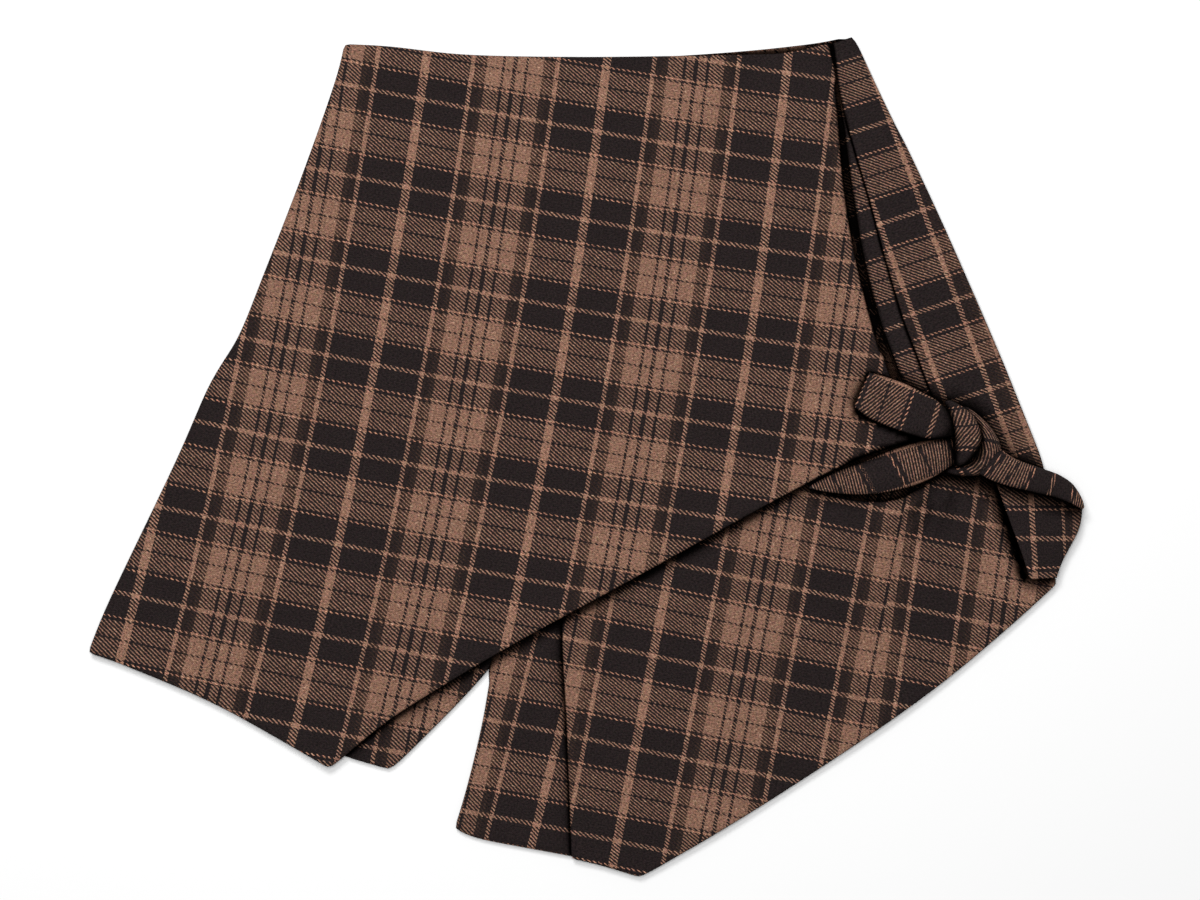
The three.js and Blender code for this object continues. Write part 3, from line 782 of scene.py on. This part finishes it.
def tube_about(name, middle, half, wall, node_names, twill, uv=None, lay=None):
    """A flat tube of cloth about a grid of points, hollow and open at both ends."""
    rows, columns = middle.shape[:2]
    normal = np.cross(np.gradient(middle, axis=0), np.gradient(middle, axis=1))
    normal /= np.maximum(np.linalg.norm(normal, axis=-1, keepdims=True), 1e-9)
    centre = middle.mean(axis=1, keepdims=True)
    width = np.linalg.norm(middle[:, -1] - middle[:, 0], axis=-1)[:, None, None]
    core = centre + (middle - centre) * np.maximum(1 - 2.4 * wall / np.maximum(width, 0.1), 0.3)
    slit = np.maximum(half - wall, 0.05)

    def ring(grid, reach):
        offset = normal * reach[..., None]
        return np.concatenate([grid + offset, (grid - offset)[:, ::-1]], axis=1)

    points = np.vstack([ring(middle, half).reshape(-1, 3), ring(core, slit).reshape(-1, 3)])
    around = 2 * columns
    index = np.arange(rows * around).reshape(rows, around)
    after = np.roll(index, -1, axis=1)
    outer = np.stack([index[:-1], index[1:], after[1:], after[:-1]], axis=-1).reshape(-1, 4)
    inside = rows * around
    first = np.stack([index[0], after[0], after[0] + inside, index[0] + inside], axis=-1)
    last = np.stack([after[-1], index[-1], index[-1] + inside, after[-1] + inside], axis=-1)
    faces = np.vstack([outer, outer[:, ::-1] + inside, first, last])

    def folded(grid):
        grid = np.concatenate([grid, grid[:, ::-1]], axis=1)
        return np.concatenate([grid, grid])

    corner_uv = face_check(lay, folded(middle), faces) if lay else folded(uv).reshape(-1, 2)[faces]
    return make_piece(name, points, faces, corner_uv.reshape(-1, 2), node_names, twill)


TIE_THICKNESS = 2.6
TIE_WALL = 1.1


def flattened(columns, thickness):
    """Half thickness across a tube that is pressed flat, with its folded edges rounded."""
    share = np.linspace(-1, 1, columns)
    return thickness / 2 * np.maximum(1 - np.abs(share) ** 5, 0.03) ** 0.5


def crinkle(x, y):
    """Small unevenness of the ties, in mm."""
    ripple = np.sin(x / 3.1 + 1.7 * np.sin(y / 5.3)) * np.sin(y / 4.3 + 0.6)
    return 0.28 * ripple + 0.2 * np.sin((x - y) / 6.7)


def tie(name, node, sections, twill, repeat=None, across=None, along=None, lean=0, skip=None,
        lay=None):
    """A tie from rows (ax, ay, az, bx, by, bz, arch): its two edges, and how far it is arched between.
    Its check starts at repeat, and one repeat is across by along mm. Before the place skip[0], in repeats
    down the warp, it is skip[1] further back."""
    shares = np.linspace(0, 1, 7)
    rows = []
    for ax, ay, az, bx, by, bz, arch in sections:
        rows.append([(ax + (bx - ax) * s, ay + (by - ay) * s, az + (bz - az) * s + 4 * s * (1 - s) * arch)
                     for s in shares])
    middle = smooth_rows(rows, 1.2)
    middle = smooth_rows(middle.transpose(1, 0, 2), 1.2).transpose(1, 0, 2)
    middle[..., 2] += crinkle(middle[..., 0], middle[..., 1])
    columns = middle.shape[1]
    centre = middle[:, columns // 2]
    s = lengths_along(centre)
    t = np.linalg.norm(middle - centre[:, None], axis=-1)
    t *= np.where(np.arange(columns) < columns // 2, 1, -1)
    uv = None
    if not lay:
        down = repeat[1] + (s[:, None] + lean * t) / along
        if skip:
            down = np.where(down < skip[0], down - skip[1], down)
        uv = np.stack([repeat[0] + t / across, down], axis=-1)
    half = np.repeat(flattened(columns, TIE_THICKNESS)[None], len(middle), axis=0)
    piece = tube_about(name, middle, half, TIE_WALL, [node], twill, uv, lay)
    width = np.linalg.norm(np.diff(middle, axis=1), axis=-1).sum(axis=1).max()
    state_cut(2 * width, s[-1])
    return piece


# Each row across a stretch of the tie: x, y and height of one edge and of the other, and the arch.
SHORT_END = [(182.8, 54.4, 13.2, 172.9, 32.0, 12.9, 0.6), (192.0, 51.8, 13.6, 182.8, 24.7, 13.6, 1.4),
             (205.2, 47.2, 14.3, 194.7, 19.6, 15.4, 1.8), (215.8, 41.9, 15.0, 206.5, 15.1, 16.6, 2.2),
             (226.4, 35.9, 15.6, 218.4, 11.6, 17.0, 2.4), (234.3, 29.3, 15.4, 229.0, 11.9, 16.0, 2.0),
             (241, 24.0, 14.0, 239, 13.5, 14.0, 1.2)]
LOOP = [(143.8, -19.4, 8.6, 144.2, -20.2, 8.6, 0), (152.6, -14.2, 9.0, 155.0, -22.6, 9.0, 0.8),
        (165.8, -8.0, 9.8, 168.3, -24.2, 9.8, 2.0), (179.2, -3.2, 11.4, 182.1, -24.2, 11.4, 2.8),
        (192.6, 2.6, 13.2, 196.0, -22.3, 12.8, 3.4), (207.9, 8.3, 14.6, 210.5, -18.8, 13.8, 3.6),
        (221.1, 10.9, 15.2, 222.4, -13.9, 14.4, 3.2), (232.4, 11.6, 14.8, 231.8, -8.2, 14.4, 2.4),
        (239, 10.6, 13.4, 239, -3.7, 13.4, 1.2)]
LONG_BAND = [(252, 16, 13.4, 246, -7, 12.6, 2.6), (265.0, 6.6, 14.4, 252.1, -10.3, 13.4, 3.0),
             (275.2, -0.6, 14.4, 261.4, -15.0, 13.4, 3.0), (284.4, -4.4, 13.8, 273.9, -19.4, 13.0, 2.8),
             (294.7, -7.9, 13.0, 288.7, -23.0, 12.2, 2.6), (304.9, -11.6, 12.2, 301, -25.8, 11.4, 2.2),
             (313.8, -17.6, 11.2, 311.5, -29.5, 10.8, 1.6), (319.2, -26.0, 10.2, 317.5, -32.4, 10.2, 0.8),
             (320.9, -32.2, 9.6, 320.2, -33.6, 9.6, 0.2)]
LONG_TAIL = [(262, -12.5, 10.0, 318.0, -27, 8.2, 0), (265.6, -19.5, 10.4, 320.4, -34, 8.0, 0.2),
             (271.2, -35.4, 11.0, 318.7, -46, 7.0, 0.4), (276.6, -49.9, 11.2, 313.4, -57, 6.8, 0.6),
             (281.4, -63.1, 11.2, 307.6, -68.0, 6.8, 0.6), (286.6, -79.0, 9.6, 304.0, -78.0, 7.2, 0.4)]

tie("tie_short_end_cloth", "tie_short_end", SHORT_END, "short_end",
    (0.806, 0.772), 121, 67.6)
tie("tie_loop_cloth", "tie_loop", LOOP, "loop", (0.8, 0.0643), 97, 82, lean=0.38,
    skip=(0.535, 0.279))
tie("tie_long_band_cloth", "tie_long_band", LONG_BAND, "band", (0.795, 0.49), 92, 55)
tie("tie_long_tail_cloth", "tie_long_tail", LONG_TAIL, "tail", lay="tail")

# Hip panel, from the waist down: the pleat's fold, the side seam, the end under the overskirt, and how wide
# the strip is that shows between the overskirt and the fold.
# fold x, y, seam x, y, end x, y, strip
HIP = [
    (160.5, 266.8, 172.0, 270.8, 157, 265.6, 0),
    (161.3, 262, 176.4, 264.5, 157, 261.5, 0),
    (164, 239, 188.5, 238.5, 156.5, 238.5, 0.5),
    (169.5, 215, 199.3, 216, 158, 215, 2.6),
    (174.6, 196, 209, 197, 160, 195, 5.7),
    (184.4, 163, 226, 161, 164, 163, 10.7),
    (193.2, 130, 241, 127.5, 169, 130, 14),
    (204.9, 90.5, 258.7, 87, 181, 90.5, 15.8),
    (214.4, 65, 270.8, 58.5, 189, 65, 16.6),
    (225.6, 36, 283, 28, 200, 36, 16),
    (238, 14, 292.5, 4, 217, 15.5, 13),
    (242, 0, 297.5, -12, 228, 2, 10),
]
PLEAT = 4.0  # how far the pleat's inner fold lies behind the outer one
LAYER = 1.6  # from one layer of cloth in the pleat to the next
ARC_STEPS = 8  # steps round each fold
TOP_STEPS = 34  # and across the top layer
ROLL = 3.0  # how high the strip beside the fold rolls up over the deep cloth next to it
ROLL_SIDE = 1.5  # and within what distance
TROUGH = 1.6  # how much deeper the cloth lies beside the strip


def hip_panel():
    co, faces = weld("hip_panel")
    tree = BVHTree.FromPolygons([Vector(c) for c in co], faces)

    def foot(x, y, fallback):
        hit = tree.ray_cast(Vector((x, y, BELOW)), Vector((0, 0, 1)))[0]
        return hit.z + CLOTH / 2 + 0.1 if hit is not None else fallback

    rows = smooth_rows(np.array(HIP, float)[:, None, :], 2.5)[:, 0, :]
    base = side = 5.0
    lows = []
    for fx, fy, sx, sy, ux, uy, strip in rows:
        out = np.array([sx - fx, sy - fy]) / math.hypot(sx - fx, sy - fy)
        base = foot(fx - 1.5 * out[0], fy - 1.5 * out[1], base)
        side = foot(sx - 1.5 * out[0], sy - 1.5 * out[1], side)
        lows.append((base, side))
    lows = np.array(lows)
    kernel = np.ones(5) / 5
    for k in (0, 1):
        lows[:, k] = np.convolve(np.pad(lows[:, k], 2, "edge"), kernel, "valid")
    middle, place = [], []
    turn = LAYER / 2
    arc = np.linspace(-math.pi / 2, math.pi / 2, ARC_STEPS + 1)
    for (fx, fy, sx, sy, ux, uy, strip), (low, low_side) in zip(rows, lows):
        width = math.hypot(sx - fx, sy - fy)
        out = np.array([sx - fx, sy - fy]) / width
        under = -math.hypot(ux - fx, uy - fy)
        start = max(-strip, under + 1)
        height = ROLL * min(1, strip / 5)
        deep = low - TROUGH * min(1, strip / 8)
        path = [(a, deep) for a in np.linspace(under, start, 8)[:-1]]
        side_width = min(ROLL_SIDE, 0.4 * strip)
        for t in (0, 0.1, 0.25, 0.45, 0.7, 1):
            rise = math.sin(math.pi / 2 * t) ** 0.8
            path.append((start + side_width * t, deep + (low + height - deep) * rise))
        for t in np.linspace(0.06, 1, 17):
            a = start + side_width + (PLEAT - turn - start - side_width) * t
            path.append((a, low + height * (1 - smoothstep(a, -1.6, -0.6))))
        crease = len(path)
        path += [(PLEAT - turn + turn * math.cos(t), low + turn + turn * math.sin(t)) for t in arc[1:]]
        path += [(turn - turn * math.cos(t), low + 3 * turn + turn * math.sin(t)) for t in arc]
        top = low + 2 * LAYER
        for share in np.arange(1, TOP_STEPS + 1) / TOP_STEPS:
            path.append((turn + (width - turn) * share, top + (low_side - top) * share ** 1.3))
        path = np.array(path)
        step = lengths_along(path)
        step -= step[crease + ARC_STEPS + ARC_STEPS // 2]
        middle.append([(fx + out[0] * a, fy + out[1] * a, z) for a, z in path])
        place.append([(fx + out[0] * a, fy + out[1] * a) for a in step])
    middle, place = np.array(middle), np.array(place)
    middle[..., 2] += swell(middle[..., 0], middle[..., 1])
    half = np.full(middle.shape[:2], CLOTH / 2)
    half[:, -1] = half[:, 0] = 0.35 * CLOTH / 2
    piece = shell_about("hip_panel_shell", middle, half, ["hip_panel"], "hip", lay="hip", place=place)
    width = np.linalg.norm(np.diff(middle, axis=1), axis=-1).sum(axis=1).max()
    length = np.linalg.norm(np.diff(middle, axis=0), axis=-1).sum(axis=0).max()
    state_cut(width, length)


hip_panel()


KNOT_THICKNESS = 2.4
KNOT_CRINKLE = 1.3  # how much more crinkled the knot is than the rest of the tie
KNOT_FINER = 1.6  # and how much closer its crinkles lie


def knot_wrap(name, sections, twill, repeat, across_repeat, along_repeat):
    """A wrap of the knot from rows (ax, ay, az, bx, by, bz, top): its two edges and its middle's height."""
    shares = np.linspace(0, 1, 11)
    crown = 1 - np.abs(2 * shares - 1) ** 2.2
    rows = []
    for ax, ay, az, bx, by, bz, top in sections:
        rows.append([(ax + (bx - ax) * s, ay + (by - ay) * s, (az + (bz - az) * s) * (1 - c) + top * c)
                     for s, c in zip(shares, crown)])
    middle = smooth_rows(rows, 1.0)
    middle = smooth_rows(middle.transpose(1, 0, 2), 1.0).transpose(1, 0, 2)
    middle[..., 2] += KNOT_CRINKLE * crinkle(KNOT_FINER * middle[..., 0], KNOT_FINER * middle[..., 1])
    across = np.linalg.norm(np.diff(middle, axis=1), axis=-1)
    along = np.linalg.norm(np.diff(middle, axis=0), axis=-1)
    s = np.concatenate([[0], np.cumsum(along[:, along.shape[1] // 2])])
    t = np.concatenate([np.zeros((len(middle), 1)), np.cumsum(across, axis=1)], axis=1)
    t -= t[:, -1:] / 2
    uv = np.stack([repeat[0] - t / across_repeat, repeat[1] + s[:, None] / along_repeat + 0 * t], axis=-1)
    half = np.repeat(flattened(middle.shape[1], KNOT_THICKNESS)[None], len(middle), axis=0)
    piece = shell_about(name, middle, half, ["tie_knot"], twill, uv)
    state_cut(across.sum(axis=1).max(), along.sum(axis=0).max())


KNOT_FRONT = [(231.4, 35.5, 12.5, 235.6, 35.8, 12.0, 13.4), (233.2, 30.2, 15.0, 243.8, 31.0, 13.2, 17.6),
              (235.6, 23.8, 17.2, 250.4, 25.2, 14.4, 20.8), (237.0, 17.4, 18.0, 254.4, 18.4, 15.2, 22.6),
              (237.5, 10.8, 18.0, 255.2, 11.8, 15.4, 23.2), (237.8, 4.2, 17.2, 252.6, 4.4, 14.8, 21.8),
              (238.0, -1.7, 15.2, 247.0, -2.2, 13.0, 18.4), (239.0, -5.3, 12.6, 241.8, -5.6, 11.8, 13.6)]
KNOT_BACK = [(242.0, 32.5, 11.6, 247.0, 30.6, 11.0, 12.4), (246.0, 26.5, 12.4, 256.0, 23.6, 11.6, 15.8),
             (249.2, 19.4, 12.4, 263.4, 15.0, 11.4, 17.8), (250.6, 11.8, 12.2, 267.6, 6.2, 11.0, 18.6),
             (249.6, 4.4, 11.8, 267.0, -2.0, 10.6, 18.2), (245.6, -1.6, 11.4, 259.8, -9.4, 10.2, 17.0),
             (240.6, -4.2, 11.2, 250.4, -12.0, 9.8, 15.2), (235.4, -5.6, 11.2, 240.6, -11.8, 9.8, 13.6),
             (231.8, -6.6, 11.2, 233.8, -9.8, 10.2, 12.0)]
knot_wrap("tie_knot_front", KNOT_FRONT, "knot_front", (0.5, 0.66), 117, 64)
knot_wrap("tie_knot_back", KNOT_BACK, "knot_back", (0.52, 0.8), 100, 130)
